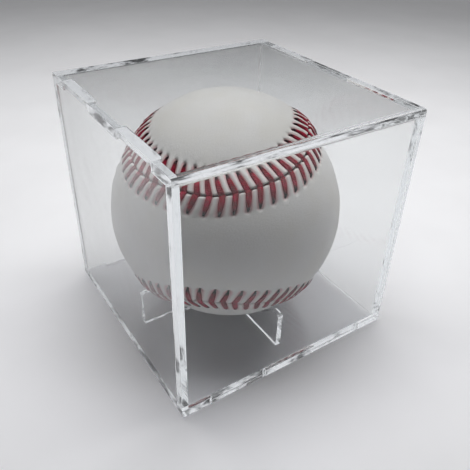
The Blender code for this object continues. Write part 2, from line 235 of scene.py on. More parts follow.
def clear_polystyrene(case):
    """Crystal polystyrene, injection moulded against polished steel.

    It bends light strongly, so cut edges and bends fill with bright and dark lines; past a few turns
    back inside, these are painted light, a glow with painted darker patches. Walls seen edge on get
    painted shade in their tint. The polish gives a hard mirror. A faint flow ripple and hairline rubs
    keep the reflections from being perfect.
    """
    made, tree, place = new_material("crystal_polystyrene_polished_mould")
    # Flow ripple about 9 mm long, and rubs of about 1 mm, coarser than the real hairlines
    ripple = add_node(tree, "TexNoise", {"Vector": place, "Scale": 1 / 0.009, "Detail": 1.0})
    rubs = add_node(tree, "TexNoise", {"Vector": place, "Scale": 1 / 0.0011, "Detail": 4.0})
    rough = add_node(tree, "MapRange", [(rubs, "Fac"), 0.55, 0.8, 0.0, 0.05], **SMOOTH)
    bump = add_node(tree, "Bump", {"Height": (ripple, "Fac"), "Strength": 0.06, "Distance": 0.0004})
    # Painted shade: the tint is darkened where a wall is seen edge on
    facing = add_node(tree, "LayerWeight", {"Blend": 0.5})
    edge_on_painted_shade = ((facing, "Facing"), (0.62, 0.82), toned(case.tint, 0.55, 0.55, 0.55))
    inputs = {
        "Base Color": layered(tree, case.tint, edge_on_painted_shade),
        "Roughness": (rough, "Result"),
        "IOR": POLYSTYRENE_IOR,
        "Specular Tint": linear("#bcbcbc"),
        "Transmission Weight": 1.0,
        "Normal": (bump, "Normal"),
    }
    plastic = add_node(tree, "BsdfPrincipled", inputs)
    # Painted light: where light has turned back inside the wall several times, the plastic glows as an
    # emission, though it is no lamp, with painted darker patches where real edges show the dark of the
    # room, mostly along the case's rims
    path = add_node(tree, "LightPath")
    turned_back = add_node(
        tree, "Math", [(path, "Glossy Depth"), LAST_TURN_BACK], operation="GREATER_THAN"
    )
    patches = add_node(
        tree, "TexNoise", {"Vector": place, "Scale": 1 / 0.014, "Detail": 5.0, "Roughness": 0.75}
    )
    height = add_node(tree, "SeparateXYZ", {"Vector": place})
    above = add_node(tree, "Math", [(height, "Z"), case.height / 2], operation="SUBTRACT")
    to_rim = add_node(tree, "Math", [(above, "Value")], operation="ABSOLUTE")
    rim_painted_shade = add_node(tree, "MapRange", [(to_rim, "Value"), 0.020, 0.038, 0.0, 0.1], **SMOOTH)
    darkened = add_node(tree, "Math", [(patches, "Fac"), (rim_painted_shade, "Result")], operation="SUBTRACT")
    strength = add_node(tree, "MapRange", [(darkened, "Value"), 0.30, 0.44, 0.05, 0.84], **SMOOTH)
    haze = add_node(tree, "BsdfDiffuse", {"Color": linear("#fafbfc")})
    glow = add_node(tree, "Emission", {"Color": linear("#f8fbff"), "Strength": (strength, "Result")})
    painted_glow = add_node(tree, "MixShader", [0.9, (haze, "BSDF"), (glow, "Emission")])
    seen = add_node(tree, "MixShader", [(turned_back, "Value"), (plastic, "BSDF"), (painted_glow, "Shader")])
    # Lamps shine through, less where a wall is seen edge on
    slant = ((facing, "Facing"), (0.35, 1.0), linear("#cdcecf"))
    clear = add_node(tree, "BsdfTransparent", {"Color": layered(tree, linear("#fdfdfe"), slant)})
    for ray in ("Is Shadow Ray", "Is Diffuse Ray"):
        inputs = [(path, ray), (seen, "Shader"), (clear, "BSDF")]
        seen = add_node(tree, "MixShader", inputs)
    add_node(tree, "OutputMaterial", {"Surface": (seen, "Shader")})
    return made


def white_leather(ball):
    """Alum-tanned cowhide, plated smooth.

    It is a warm white with a shallow pebble of about a millimetre, a soft sheen, a little grime in the
    puckers, pink beside the legs that is partly dyestuff rubbed off the thread and partly painted red
    light thrown from it, and painted shade in the awl holes and along the cut edge.
    """
    made, tree, place = new_material("alum_tanned_cowhide_plated")
    pebble = add_node(
        tree, "TexVoronoi", {"Vector": place, "Scale": 1 / 0.0011}, feature="DISTANCE_TO_EDGE"
    )
    # Pores of 0.4 mm, coarser than the real ones, and a mottle of about 11 mm
    pores = add_node(tree, "TexNoise", {"Vector": place, "Scale": 1 / 0.0004, "Detail": 3.0})
    mottle = add_node(tree, "TexNoise", {"Vector": place, "Scale": 1 / 0.011, "Detail": 4.0})
    dye_and_red_bounce = add_node(tree, "Attribute", attribute_name="thread_dye")
    hole = add_node(tree, "Attribute", attribute_name="awl_hole")
    # Warmer patches, pink beside the legs (dyestuff and painted red light), and painted shade in the
    # holes and along the cut edge
    tone = layered(
        tree,
        ball.leather_colour,
        ((mottle, "Fac"), (0.35, 0.7, 0.0, 0.6), toned(ball.leather_colour, 0.96, 0.945, 0.9)),
        ((dye_and_red_bounce, "Fac"), (0.1, 0.85, 0.0, 0.7), linear("#d4898e")),
        ((hole, "Fac"), (0.45, 0.95), linear("#1d1415")),
    )
    valleys = add_node(tree, "MapRange", [(pebble, "Distance"), 0.0, 0.25], **SMOOTH)
    grain = add_node(
        tree, "Bump", {"Height": (valleys, "Result"), "Strength": 0.15, "Distance": 0.00012}
    )
    skin = add_node(
        tree,
        "Bump",
        {"Height": (pores, "Fac"), "Strength": 0.25, "Distance": 0.00008, "Normal": (grain, "Normal")},
    )
    gloss = add_node(tree, "MapRange", [(mottle, "Fac"), 0.3, 0.7, 0.46, 0.62], **SMOOTH)
    inputs = {
        "Base Color": tone,
        "Roughness": (gloss, "Result"),
        "IOR": 1.5,
        "Normal": (skin, "Normal"),
        "Sheen Weight": 0.12,
        "Sheen Roughness": 0.45,
    }
    finish = add_node(tree, "BsdfPrincipled", inputs)
    add_node(tree, "OutputMaterial", {"Surface": (finish, "BSDF")})
    return made


def waxed_thread(ball):
    """Waxed cotton thread, dyed red and twisted from plies.

    The twist shows as fine slanting ribs with painted shade in their grooves, the wax as a dull gloss.
    Random pink spots are partly wear and partly painted highlight, darker spots partly wax-soaked and
    partly painted shade, and the ends are painted dark as shade where they go down into the awl holes.
    """
    made, tree, place = new_material("waxed_cotton_thread_twisted")
    along = add_node(tree, "Attribute", attribute_name="thread_along")
    across = add_node(tree, "Attribute", attribute_name="thread_round")
    end = add_node(tree, "Attribute", attribute_name="thread_end")
    inputs = [(across, "Fac"), RIB_LEAN, (along, "Fac")]
    slant = add_node(tree, "Math", inputs, operation="MULTIPLY_ADD")
    inputs = [(slant, "Value"), 2 * math.pi / RIB_SPACING]
    turns = add_node(tree, "Math", inputs, operation="MULTIPLY")
    ribs = add_node(tree, "Math", [(turns, "Value")], operation="SINE")
    fibres = add_node(tree, "TexNoise", {"Vector": place, "Scale": 1 / 0.00018, "Detail": 3.0})
    wear_and_painted_light_spots = add_node(tree, "TexNoise", {"Vector": place, "Scale": 1 / 0.0016, "Detail": 3.0})
    # Painted shade in the grooves between the ribs, pink spots (wear and painted highlight), darker
    # spots (wax and painted shade), and painted shade on the ends in their holes
    tone = layered(
        tree,
        ball.thread_colour,
        ((ribs, "Value"), (-1.0, 0.6, 1.0, 0.0), toned(ball.thread_colour, 0.55, 0.55, 0.55)),
        ((wear_and_painted_light_spots, "Fac"), (0.5, 0.68, 0.0, 0.7), toned(ball.thread_colour, 1.7, 3.2, 3.0)),
        ((wear_and_painted_light_spots, "Fac"), (0.32, 0.5, 0.75, 0.0), toned(ball.thread_colour, 0.4, 0.35, 0.35)),
        ((end, "Fac"), (0.66, 0.88), linear("#1c1013")),
    )
    height = add_node(tree, "Math", [(fibres, "Fac"), 0.5, (ribs, "Value")], operation="MULTIPLY_ADD")
    bump = add_node(tree, "Bump", {"Height": (height, "Value"), "Strength": 0.5, "Distance": 0.00006})
    wax = add_node(tree, "MapRange", [(fibres, "Fac"), 0.3, 0.7, 0.5, 0.7], **SMOOTH)
    inputs = {
        "Base Color": tone,
        "Roughness": (wax, "Result"),
        "IOR": 1.45,
        "Specular IOR Level": 0.1,
        "Normal": (bump, "Normal"),
    }
    finish = add_node(tree, "BsdfPrincipled", inputs)
    add_node(tree, "OutputMaterial", {"Surface": (finish, "BSDF")})
    return made


def wound_yarn(name, strand, light, dark, fuzz):
    """Yarn wound tightly in every direction: crossing bands of strands, with fuzz between them."""
    made, tree, place = new_material(name)
    layers = []
    for turn in ((0.3, 0.2, 0.0), (1.3, 0.5, 0.9), (0.7, 1.6, 2.1)):
        turned = add_node(tree, "Mapping", {"Vector": place, "Rotation": turn})
        waves = {"Vector": (turned, "Vector"), "Scale": 1 / (strand * 2 * math.pi), "Distortion": 0.6}
        layers.append(add_node(tree, "TexWave", waves))
    patches = add_node(tree, "TexNoise", {"Vector": place, "Scale": 1 / (strand * 9), "Detail": 0.0})
    wound = (layers[0], "Fac")
    for layer, low in ((layers[1], 0.44), (layers[2], 0.55)):
        over = add_node(tree, "MapRange", [(patches, "Fac"), low, low + 0.03], **SMOOTH)
        wound = (add_node(tree, "Mix", [(over, "Result"), wound, (layer, "Fac")]), 0)
    fibres = add_node(tree, "TexNoise", {"Vector": place, "Scale": 4 / strand, "Detail": 3.0})
    # Painted shade: the colour is darker between the strands, where the bump is low
    yarn_with_painted_shade = add_node(tree, "Mix", [wound, linear(dark), linear(light)], **COLOURS)
    height = add_node(tree, "Math", [(fibres, "Fac"), fuzz, wound], operation="MULTIPLY_ADD")
    bump = add_node(
        tree, "Bump", {"Height": (height, "Value"), "Strength": 0.8, "Distance": strand / 2}
    )
    inputs = {"Base Color": (yarn_with_painted_shade, 2), "Roughness": 0.9, "Normal": (bump, "Normal")}
    inputs["Sheen Weight"] = 0.3
    finish = add_node(tree, "BsdfPrincipled", inputs)
    add_node(tree, "OutputMaterial", {"Surface": (finish, "BSDF")})
    return made


def moulded_rubber(name, hex_colour):
    """Vulcanised rubber from a blasted mould: dull, with a fine even tooth and a bloom in patches."""
    made, tree, place = new_material(name)
    tooth = add_node(tree, "TexNoise", {"Vector": place, "Scale": 1 / 0.0003, "Detail": 2.0})
    bloom = add_node(tree, "TexNoise", {"Vector": place, "Scale": 1 / 0.006, "Detail": 4.0})
    body = linear(hex_colour)
    bloomed = ((bloom, "Fac"), (0.4, 0.75, 0.0, 0.6), toned(body, 1.5, 1.8, 1.8))
    dullness = add_node(tree, "MapRange", [(bloom, "Fac"), 0.3, 0.7, 0.55, 0.75], **SMOOTH)
    bump = add_node(tree, "Bump", {"Height": (tooth, "Fac"), "Strength": 0.3, "Distance": 0.00005})
    inputs = {
        "Base Color": layered(tree, body, bloomed),
        "Roughness": (dullness, "Result"),
        "IOR": 1.52,
        "Normal": (bump, "Normal"),
    }
    finish = add_node(tree, "BsdfPrincipled", inputs)
    add_node(tree, "OutputMaterial", {"Surface": (finish, "BSDF")})
    return made


def composition_cork():
    """Ground cork bonded with rubber: millimetre granules of several browns in a dark binder."""
    made, tree, place = new_material("composition_cork_pressed")
    cells = {"Vector": place, "Scale": 1 / 0.0016}
    granules = add_node(tree, "TexVoronoi", cells, feature="F1")
    edges = add_node(tree, "TexVoronoi", cells, feature="DISTANCE_TO_EDGE")
    tone = add_node(tree, "SeparateColor", {"Color": (granules, "Color")})
    brown = add_node(tree, "Mix", [(tone, "Red"), linear("#a9794c"), linear("#6e4427")], **COLOURS)
    body = add_node(tree, "MapRange", [(edges, "Distance"), 0.0, 0.08], **SMOOTH)
    bound = add_node(tree, "Mix", [(body, "Result"), linear("#33221a"), (brown, 2)], **COLOURS)
    bump = add_node(tree, "Bump", {"Height": (body, "Result"), "Strength": 0.5, "Distance": 0.0002})
    inputs = {"Base Color": (bound, 2), "Roughness": 0.85, "Normal": (bump, "Normal")}
    finish = add_node(tree, "BsdfPrincipled", inputs)
    add_node(tree, "OutputMaterial", {"Surface": (finish, "BSDF")})
    return made


def seen_rays(tree):
    """One for rays that show the background: the camera's own, and those in gloss and clear plastic."""
    path = add_node(tree, "LightPath")
    seen = add_node(
        tree, "Math", [(path, "Is Camera Ray"), (path, "Is Glossy Ray")], operation="MAXIMUM"
    )
    return add_node(tree, "Math", [(seen, "Value"), (path, "Is Transmission Ray")], operation="MAXIMUM")


def pale_board(studio):
    """A painted board: an even pale tone with a faint roller mottle and no gloss to speak of.

    Far from the object it runs out into the colour of the backdrop, as a studio sweep does.
    """
    made, tree, place = new_material("painted_board_matt")
    mottle = add_node(tree, "TexNoise", {"Vector": place, "Scale": 1 / 0.05, "Detail": 3.0})
    rolled = ((mottle, "Fac"), (0.3, 0.7), toned(studio.floor_colour, 0.965, 0.965, 0.965))
    paint = layered(tree, studio.floor_colour, rolled)
    inputs = {"Base Color": paint, "Roughness": 0.85, "Specular IOR Level": 0.2}
    board = add_node(tree, "BsdfPrincipled", inputs)
    away = add_node(tree, "VectorMath", [place], operation="LENGTH")
    far = add_node(tree, "MapRange", [(away, "Value"), studio.pool, studio.pool * 2.6], **SMOOTH)
    share = add_node(tree, "Math", [(far, "Result"), (seen_rays(tree), "Value")], operation="MULTIPLY")
    backdrop = add_node(tree, "Emission", {"Color": studio.backdrop_colour})
    sweep = add_node(tree, "MixShader", [(share, "Value"), (board, "BSDF"), (backdrop, "Emission")])
    add_node(tree, "OutputMaterial", {"Surface": (sweep, "Shader")})
    return made


# Shared modelling steps


def link_mesh(name, mesh, finish):
    """A finished piece at the origin, with its place in its mesh."""
    mesh.materials.clear()
    mesh.materials.append(finish)
    made = bpy.data.objects.new(name, mesh)
    bpy.context.scene.collection.objects.link(made)
    return made


def bmesh_to_mesh(name, bm):
    bmesh.ops.recalc_face_normals(bm, faces=bm.faces)
    mesh = bpy.data.meshes.new(name)
    bm.to_mesh(mesh)
    bm.free()
    return mesh


def add_block(bm, low, high):
    """A box between two corners."""
    low, high = Vector(low), Vector(high)
    place = Matrix.Translation((low + high) / 2) @ Matrix.Diagonal((*(high - low), 1))
    return bmesh.ops.create_cube(bm, size=1, matrix=place)["verts"]


def extrude_along_y(bm, outline, start, length):
    """A prism from an outline of (x, z) points. Returns the near and the far points."""
    near = [bm.verts.new((x, start, z)) for x, z in outline]
    grown = bmesh.ops.extrude_face_region(bm, geom=[bm.faces.new(near)])["geom"]
    far = [item for item in grown if isinstance(item, bmesh.types.BMVert)]
    bmesh.ops.translate(bm, verts=far, vec=(0, length, 0))
    return near, far


def round_edges(bm, edges, radius, segments):
    return bmesh.ops.bevel(
        bm, geom=edges, offset=radius, segments=segments, profile=0.5, affect="EDGES", material=-1
    )["verts"]


def near_to(value, target):
    return math.isclose(value, target, abs_tol=1e-6)


def remove_helpers(*pieces):
    """Removes helper objects and their meshes."""
    for piece in pieces:
        mesh = piece.data
        bpy.data.objects.remove(piece)
        bpy.data.meshes.remove(mesh)


# Clear halves


def channel(case):
    """A flat plate with a wall along each side, open upwards, with rounded bends."""
    bm = bmesh.new()
    half, inner = case.side / 2, case.side / 2 - case.wall
    right = [(half, 0), (half, case.height), (inner, case.height), (inner, case.wall)]
    left = [(-x, z) for x, z in reversed(right)]
    extrude_along_y(bm, [left[-1], *right, *left[:-1]], -half, case.side)
    for x, z, radius in ((half, 0, case.outer_bend), (inner, case.wall, case.inner_bend)):
        bends = []
        for edge in bm.edges:
            start, end = (vert.co for vert in edge.verts)
            in_line = near_to(start.x, end.x) and near_to(start.z, z) and near_to(end.z, z)
            if in_line and near_to(abs(start.x), x):
                bends.append(edge)
        round_edges(bm, bends, radius, BEND_SEGMENTS)
    return bmesh_to_mesh("channel", bm)


def notch_blocks(case):
    """Blocks that open the plate's end edges for the other half's tabs."""
    bm = bmesh.new()
    inner = case.side / 2 - case.wall - case.fit_gap
    near, far = case.tongue / 2 - case.fit_gap, case.tongue / 2 + case.tab + case.fit_gap
    for side in (-1, 1):
        for end in (-1, 1):
            xs = sorted((side * near, side * far))
            ys = sorted((end * inner, end * (case.side / 2 + CUT_OVER)))
            block = add_block(bm, (xs[0], ys[0], -CUT_OVER), (xs[1], ys[1], case.wall + CUT_OVER))
            corner = [vert for vert in block if near_to(abs(vert.co.y), inner)]
            uprights = []
            for edge in {edge for vert in corner for edge in vert.link_edges}:
                low, high = edge.verts
                if low in corner and high in corner and near_to(low.co.x, high.co.x):
                    uprights.append(edge)
            uprights.sort(key=lambda edge: edge.verts[0].co.x)
            round_edges(bm, uprights, case.notch_round, NOTCH_SEGMENTS)
    return bmesh_to_mesh("notches", bm)


def crest_blocks(case):
    """Blocks that lower the walls' free edges and leave two tabs on each."""
    bm = bmesh.new()
    reach, start, end = case.side / 2 + CUT_OVER, case.tongue / 2, case.tongue / 2 + case.tab
    bottom = case.height - case.wall - case.fit_gap
    for low, high in ((-reach, -end), (-start, start), (end, reach)):
        add_block(bm, (-reach, low, bottom), (reach, high, case.height + CUT_OVER))
    return bmesh_to_mesh("crests", bm)


def wall_end_blocks(case):
    """Blocks that shorten the base walls, so that they stand between the cover's walls."""
    bm = bmesh.new()
    reach = case.side / 2 + CUT_OVER
    for end in (-1, 1):
        ys = sorted((end * (case.side / 2 - case.wall - case.fit_gap), end * reach))
        add_block(bm, (-reach, ys[0], case.wall), (reach, ys[1], case.height + CUT_OVER))
    return bmesh_to_mesh("wall_ends", bm)


def cradle_fins(case):
    """Four thin uprights, hollowed to the ball, on the floor's centre lines."""
    bm = bmesh.new()
    reach = case.side / 2 - case.wall - case.fin_to_wall
    tip, root, centre = case.wall + case.fin_height, case.wall / 2, ball_centre().z
    first = math.asin(case.fin_start / case.fin_arc)
    last = math.acos((centre - tip) / case.fin_arc)
    outline = [(case.fin_start, root), (reach, root), (reach, tip)]
    for step in range(FIN_ARC_STEPS + 1):
        angle = last + (first - last) * step / FIN_ARC_STEPS
        outline.append((case.fin_arc * math.sin(angle), centre - case.fin_arc * math.cos(angle)))
    for quarter in range(4):
        near, far = extrude_along_y(bm, outline, -case.fin_thickness / 2, case.fin_thickness)
        tip_vert = near[2]
        across = [edge for edge in tip_vert.link_edges if edge.other_vert(tip_vert) in far]
        rounded = round_edges(bm, across, case.fin_tip_round, TIP_SEGMENTS)
        fin = list(dict.fromkeys(vert for vert in near + far + rounded if vert.is_valid))
        turn = Matrix.Rotation(quarter * math.pi / 2, 3, "Z")
        bmesh.ops.rotate(bm, cent=(0, 0, 0), matrix=turn, verts=fin)
    return bmesh_to_mesh("fins", bm)


def moulded_half(name, case, finish, joined, cuts, place):
    """A channel with shapes joined and cut, and every sharp edge rounded off."""
    half = link_mesh(name, channel(case), finish)
    helpers = []
    for operation, meshes in (("UNION", joined), ("DIFFERENCE", cuts)):
        for mesh in meshes:
            helpers.append(link_mesh(mesh.name, mesh, finish))
            cut = half.modifiers.new(mesh.name, "BOOLEAN")
            cut.operation = operation
            cut.object = helpers[-1]
    rounding = half.modifiers.new("edge_round", "BEVEL")
    rounding.width = case.edge_round
    rounding.segments = EDGE_SEGMENTS
    rounding.limit_method = "ANGLE"
    rounding.angle_limit = SHARP_ANGLE
    half.modifiers.new("face_normals", "WEIGHTED_NORMAL").weight = 100
    graph = bpy.context.evaluated_depsgraph_get()
    shaped = bpy.data.meshes.new_from_object(half.evaluated_get(graph), depsgraph=graph)
    shaped.transform(place)
    remove_helpers(half, *helpers)
    shaped.name = name
    return link_mesh(name, shaped, finish)


# Seam curve

# Half of the most that a hand-sewn leg lies from its place
HAND_SHIFT = 0.00012
# The puffed leather, in shares of a leg's reach: where it starts to fade, and where it ends
PUFF_FADES, PUFF_ENDS = 0.72, 1.2
# The share of a puff that lies under the leather's even round
PUFF_SUNK = 0.42

def ball_centre():
    return (BALL_LOW + BALL_HIGH) / 2


class Seam:
    """The ball's closed seam, measured along its length on the leather."""

    table_steps = 4000

    def __init__(self, ball):
        self.ball = ball
        self.radius = ball.diameter / 2
        self.turned = Euler(ball.lie).to_matrix()
        self.turn = 4 * math.pi
        step = self.turn / self.table_steps
        self.params = [step * k for k in range(self.table_steps + 1)]
        points = [self.direction(t) * self.radius for t in self.params]
        self.lengths = [0.0]
        for before, after in zip(points, points[1:]):
            self.lengths.append(self.lengths[-1] + (after - before).length)
        self.total = self.lengths[-1]
        self.pitch = self.total / ball.stitches

    def direction(self, t):
        """The seam as a unit direction from the ball's centre; t runs from 0 to four pi."""
        down = math.pi / 2 - (math.pi / 2 - self.ball.neck) * math.cos(t)
        round_z = t / 2 + self.ball.swing * math.sin(2 * t)
        across = math.sin(down)
        return Vector((across * math.cos(round_z), across * math.sin(round_z), math.cos(down)))

    def frame(self, length):
        """Outward, forward and sideways at a length; sideways points into the first panel."""
        length %= self.total
        low, high = 0, self.table_steps
        while high - low > 1:
            middle = (low + high) // 2
            low, high = (middle, high) if self.lengths[middle] <= length else (low, middle)
        share = (length - self.lengths[low]) / (self.lengths[high] - self.lengths[low])
        t = self.params[low] + share * (self.params[high] - self.params[low])
        step = self.turn / self.table_steps
        outward = self.direction(t)
        forward = (self.direction(t + step) - self.direction(t - step)).normalized()
        return outward, forward, outward.cross(forward).normalized()

    def aside(self, length, across):
        """The direction of a point this far to the side of the seam, measured on the ball."""
        outward, _, sideways = self.frame(length)
        angle = across / self.radius
        return outward * math.cos(angle) + sideways * math.sin(angle)

    def placed(self):
        """The ball's turn and place in the case."""
        return Matrix.Translation(ball_centre()) @ self.turned.to_4x4()


def smooth_step(low, high, value):
    share = min(max((value - low) / (high - low), 0.0), 1.0)
    return share * share * (3 - 2 * share)


def hand_shift(stitch, hand):
    """Hand sewing isn't even: how far this leg lies from its proper place, in metres."""
    return HAND_SHIFT * (math.sin(stitch * 2.4 + hand) + math.sin(stitch * 5.3 + 2.0 * hand))


def stitch_offset(seam, length, across, hand):
    """How far along the seam a point lies from the nearest stitch's leg on this side."""
    ball = seam.ball
    place = length / seam.pitch - ball.first_stitch
    place += ball.leg_lean / seam.pitch * min(across / ball.leg_reach, PUFF_ENDS)
    stitch = round(place)
    return (place - stitch) * seam.pitch - hand_shift(stitch % ball.stitches, hand)


def hole_share(ball, beside, across):
    """One in the middle of the nearest awl hole, fading out over its radius."""
    return math.exp(-((math.hypot(beside, across - ball.leg_reach) / ball.hole) ** 2) / 2)


def leather_rise(seam, beside, across):
    """How far the leather stands over the ball's round at a point beside the seam."""
    ball = seam.ball
    puff = math.sin(math.pi * beside / seam.pitch) ** 2
    reach = smooth_step(-0.0004, 0.0005, across)
    reach *= 1 - smooth_step(PUFF_FADES * ball.leg_reach, PUFF_ENDS * ball.leg_reach, across)
    rise = ball.ridge * math.exp(-((across / ball.ridge_reach) ** 2))
    rise += ball.pucker * reach * (puff - PUFF_SUNK)
    rise -= ball.lip_depth * (1 - smooth_step(0.0, ball.lip_width, across))
    return rise - ball.hole_depth * hole_share(ball, beside, across)


# Ball cover

STEPS_PER_STITCH = 10
# The leather's rows of points, from the cut edge past the awl holes to where it lies smooth
ROWS_MM = (
    (0, 0.06, 0.14, 0.26, 0.42, 0.65, 0.95, 1.3, 1.75, 2.25, 2.8)
    + (3.35, 3.9, 4.4, 4.8, 5.1, 5.4, 5.7, 6.05, 6.6, 7.4, 8.6)
)
RIB_CUTS = 19
# How far in the cut edge is drawn back, and how far in it is painted dark as shade
DRAW_FADE, CUT_SHADE = 0.0012, 0.00016
# Pink beside the legs, partly dyestuff rubbed off and partly painted red light from the thread: its
# width in leg widths, and where it fades and ends in shares of a leg's reach
DYE_AND_BOUNCE_WIDTH, DYE_AND_BOUNCE_FADES, DYE_AND_BOUNCE_ENDS = 0.75, 0.9, 1.25


def puckered_band(bm, seam, hand, attributes):
    """The strip of leather beside the seam, grown row after row. Returns its rows of points."""
    dye_and_red_bounce, hole = attributes
    ball = seam.ball
    count = ball.stitches * STEPS_PER_STITCH
    lengths = [seam.total * k / count for k in range(count)]
    rows, edges = [], []
    for across in (value / 1000 for value in ROWS_MM):
        if not rows:
            row = [bm.verts.new() for _ in lengths]
            edges = [bm.edges.new(pair) for pair in zip(row, row[1:] + row[:1])]
        else:
            grown = bmesh.ops.extrude_edge_only(bm, edges=edges)["geom"]
            edges = [item for item in grown if isinstance(item, bmesh.types.BMEdge)]
            fresh = {item for item in grown if isinstance(item, bmesh.types.BMVert)}
            row = []
            for vert in rows[-1]:
                others = (edge.other_vert(vert) for edge in vert.link_edges)
                row.append(next(other for other in others if other in fresh))
        for vert, length in zip(row, lengths):
            # The second panel is the first one turned over, so its lengths run the other way
            on_seam = length if hand > 0 else seam.total / 4 - length
            beside = stitch_offset(seam, on_seam, across, hand)
            radius = seam.radius + leather_rise(seam, beside, across)
            drawn = ball.lip_draw * math.cos(math.pi * beside / seam.pitch) ** 4
            drawn *= math.exp(-across / DRAW_FADE)
            vert.co = seam.aside(length, across + ball.seam_gap / 2 + drawn) * radius
            # Pink beside the legs: partly dyestuff rubbed off, partly painted red light thrown from the
            # thread
            inside = 1 - smooth_step(DYE_AND_BOUNCE_FADES * ball.leg_reach, DYE_AND_BOUNCE_ENDS * ball.leg_reach, across)
            vert[dye_and_red_bounce] = inside * math.exp(-((beside / (DYE_AND_BOUNCE_WIDTH * ball.leg_width)) ** 2))
            # Painted shade: dark in the awl holes and in a thin line along the cut edge
            shaded = math.exp(-((across / CUT_SHADE) ** 2))
            vert[hole] = hole_share(ball, beside, across) + shaded
        rows.append(row)
    return rows


def panel_middle(bm, seam, loop):
    """Closes the smooth middle of the panel with ribs from side to side."""
    count = len(loop)
    tip = count // 4
    left = [loop[k % count] for k in range(1 - tip, tip)]
    right = [loop[(count // 2 - k) % count] for k in range(1 - tip, tip)]
    sides = []
    for chain in (left, right):
        for start, end in zip(chain, chain[1:]):
            sides.append(next(edge for edge in start.link_edges if edge.other_vert(start) is end))
    bmesh.ops.bridge_loops(bm, edges=sides)
    across = set(zip(left, right))
    across |= set(zip(right, left))
    ribs = [edge for edge in bm.edges if tuple(edge.verts) in across]
    bmesh.ops.holes_fill(bm, edges=[edge for edge in bm.edges if edge.is_boundary], sides=3)
    cut = bmesh.ops.subdivide_edges(bm, edges=ribs, cuts=RIB_CUTS, use_grid_fill=True)
    for item in cut["geom_inner"]:
        if isinstance(item, bmesh.types.BMVert):
            item.co = item.co.normalized() * seam.radius
    if len(ribs) != len(left):
        raise RuntimeError(f"the panel has {len(ribs)} ribs, and needs {len(left)}")


def leather_panel(name, seam, finish, hand):
    """One dumbbell-shaped cover panel, puckered at its stitches, with its cut edge and underside."""
    bm = bmesh.new()
    attributes = [bm.verts.layers.float.new(key) for key in ("thread_dye", "awl_hole")]
    rows = puckered_band(bm, seam, hand, attributes)
    panel_middle(bm, seam, rows[-1])
    grown = bmesh.ops.extrude_face_region(bm, geom=bm.faces[:], use_keep_orig=True)["geom"]
    for item in grown:
        if isinstance(item, bmesh.types.BMVert):
            item.co = item.co.normalized() * (seam.radius - seam.ball.leather)
    place = seam.placed()
    if hand < 0:
        place = place @ Matrix.Rotation(math.pi, 4, Vector((1, 1, 0)))
    bmesh.ops.transform(bm, matrix=place, verts=bm.verts)
    mesh = bmesh_to_mesh(name, bm)
    mesh.shade_smooth()
    return link_mesh(name, mesh, finish)


# Thread

# A leg's course from under the far lip, over the puckered leather and down into its hole:
# across the seam and over the ball's round, in millimetres, and a share of its full width
LEG_COURSE = (
    (-0.45, -0.30, 0.90),
    (0.05, 0.26, 1.00),
    (0.80, 0.44, 1.00),
    (1.90, 0.40, 0.98),
    (3.10, 0.30, 0.88),
    (4.20, 0.16, 0.70),
    (4.95, -0.02, 0.48),
    (5.40, -0.50, 0.26),
)
# Two round strands side by side: shares of the width and of the thickness
LEG_SECTION = (
    (-0.50, 0.0),
    (-0.37, 0.36),
    (-0.17, 0.45),
    (0.0, 0.34),
    (0.17, 0.45),
    (0.37, 0.36),
    (0.50, 0.0),
    (0.26, -0.45),
    (-0.26, -0.45),
)
# The run in the seam: its corners, sideways and over the ball's round, in millimetres
CORE_SECTION = ((-0.12, -0.9), (0.12, -0.9), (0.12, -1.15), (-0.12, -1.15))
CORE_STEPS_PER_STITCH = 4


def leg_rings(seam, apex, hand):
    """The leg's course as rings of points, with how far along it each ring lies."""
    ball = seam.ball
    reach = LEG_COURSE[-1][0] / 1000
    centres, ups = [], []
    for across, rise, _ in LEG_COURSE:
        share = across / 1000 / reach
        length = apex - ball.leg_lean * share
        up = seam.aside(length, hand * (across / 1000 + ball.seam_gap / 2))
        ups.append(up)
        centres.append(up * (seam.radius + rise / 1000))
    rings, along = [], 0.0
    for index, (centre, up) in enumerate(zip(centres, ups)):
        before, after = centres[max(index - 1, 0)], centres[min(index + 1, len(centres) - 1)]
        forward = (after - before).normalized()
        side = forward.cross(up).normalized()
        over = side.cross(forward)
        width = ball.leg_width * LEG_COURSE[index][2]
        along += (centre - centres[index - 1]).length if index else 0.0
        points = [
            centre + side * (width * x) + over * (ball.leg_thickness * z) for x, z in LEG_SECTION
        ]
        rings.append((points, along))
    return rings


def add_leg(bm, seam, apex, hand, attributes):
    """Lofts one leg by extruding its end face from ring to ring. Returns the faces left inside it."""
    along_key, round_key, end_key = attributes
    rings = leg_rings(seam, apex, hand)
    full = rings[-1][1]
    face, ends = None, []
    for points, along in rings:
        if face is None:
            verts = [bm.verts.new(point) for point in points]
            face = bm.faces.new(verts)
        else:
            grown = bmesh.ops.extrude_face_region(bm, geom=[face])["geom"]
            face = next(item for item in grown if isinstance(item, bmesh.types.BMFace))
            verts = [loop.vert for loop in face.loops]
        ends.append(face)
        for index, (vert, point) in enumerate(zip(verts, points)):
            vert.co = point
            vert[along_key] = along
            vert[round_key] = index / len(points)
            vert[end_key] = along / full
    return ends[1:-1]


def thread_core(bm, seam):
    """The thread's run from stitch to stitch, deep in the seam."""
    count = seam.ball.stitches * CORE_STEPS_PER_STITCH
    rings = []
    for k in range(count):
        outward, _, sideways = seam.frame(seam.total * k / count)
        ring = []
        for side, up in CORE_SECTION:
            point = outward * (seam.radius + up / 1000) + sideways * (side / 1000)
            ring.append(bm.verts.new(point))
        rings.append([bm.edges.new(pair) for pair in zip(ring, ring[1:] + ring[:1])])
    for before, after in zip(rings, rings[1:] + rings[:1]):
        bmesh.ops.bridge_loops(bm, edges=before + after)


